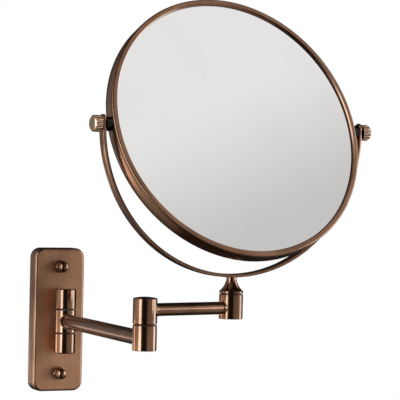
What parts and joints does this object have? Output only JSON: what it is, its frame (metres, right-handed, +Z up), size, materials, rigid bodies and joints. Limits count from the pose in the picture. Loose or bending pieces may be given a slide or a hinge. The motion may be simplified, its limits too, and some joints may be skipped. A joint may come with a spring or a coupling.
{
  "type": "extendable shaving mirror",
  "caption": "Wall-mounted round shaving mirror in antique copper: a double-sided drum tilts in a C-shaped yoke on a jointed swinging arm.",
  "frame": {"origin": "centre of the wall plate's back face, on the wall's surface", "axes": "+Z up, +Y into the wall, +X to the right as seen from the room; the mirror reaches out along -Y"},
  "size_m": [0.2393, 0.236, 0.314],
  "materials": {
    "antique_copper": "brushed antique copper with polished edges",
    "mirror_glass": "silvered glass",
    "bright_steel": "turned steel",
    "bush_brass": "turned brass",
    "washer_nylon": "black nylon",
    "gasket_rubber": "matt black",
    "dark_spacer": "dark satin",
    "backing_fibre": "pressed fibre"
  },
  "bodies": {
    "wall_mount": {"wall_plate": "antique_copper", "mounting_bar": "bright_steel", "plate_studs": "bright_steel", "cap_nuts": "antique_copper", "upper_knuckle": "antique_copper", "lower_knuckle": "antique_copper", "knuckle_screws": "bright_steel", "hinge_pin": "bright_steel", "hinge_washers": "washer_nylon"},
    "first_arm": {"arm_knuckle": "antique_copper", "arm_bush": "bush_brass", "first_arm_tube": "antique_copper", "first_arm_collars": "antique_copper", "elbow_base": "antique_copper", "elbow_bush": "bush_brass", "elbow_washer": "washer_nylon", "elbow_plug": "antique_copper", "elbow_spring": "bright_steel"},
    "second_arm": {"elbow_top": "antique_copper", "elbow_screw": "bright_steel", "second_arm_tube": "antique_copper", "second_arm_collars": "antique_copper", "end_socket": "antique_copper", "socket_bush": "bush_brass", "socket_plug": "antique_copper", "stem_washer": "washer_nylon", "stem_spring": "bright_steel"},
    "head": {"stem": "antique_copper", "stem_screw": "bright_steel", "yoke": "antique_copper", "yoke_screw": "bright_steel", "knob_washers": "dark_spacer"},
    "mirror": {"mirror_drum": "antique_copper", "front_bezel": "antique_copper", "rear_bezel": "antique_copper", "front_glass": "mirror_glass", "rear_glass": "mirror_glass", "backing_disc": "backing_fibre", "front_gasket": "gasket_rubber", "rear_gasket": "gasket_rubber", "pivot_spacers": "dark_spacer", "pivot_studs": "bright_steel"},
    "left_knob": {"left_knob": "antique_copper"},
    "right_knob": {"right_knob": "antique_copper"}
  },
  "joints": [
    {"name": "wall_swivel", "type": "hinge", "parent": "wall_mount", "child": "first_arm", "pos_m": [0, -0.0265, 0], "axis": [0, 0, 1], "range_deg": [-87.8, 92.2]},
    {"name": "elbow_swivel", "type": "hinge", "parent": "first_arm", "child": "second_arm", "pos_m": [-0.00691, -0.20637, 0], "axis": [0, 0, 1], "continuous": true},
    {"name": "head_swivel", "type": "hinge", "parent": "second_arm", "child": "head", "pos_m": [0.07036, -0.18994, 0], "axis": [0, 0, 1], "continuous": true},
    {"name": "mirror_tilt", "type": "hinge", "parent": "head", "child": "mirror", "pos_m": [0.07036, -0.18994, 0.1565], "axis": [0.9971, 0.0767, 0], "continuous": true},
    {"name": "left_knob_turn", "type": "hinge", "parent": "mirror", "child": "left_knob", "pos_m": [0.07036, -0.18994, 0.1565], "axis": [0.9971, 0.0767, 0], "continuous": true},
    {"name": "right_knob_turn", "type": "hinge", "parent": "mirror", "child": "right_knob", "pos_m": [0.07036, -0.18994, 0.1565], "axis": [0.9971, 0.0767, 0], "continuous": true}
  ]
}
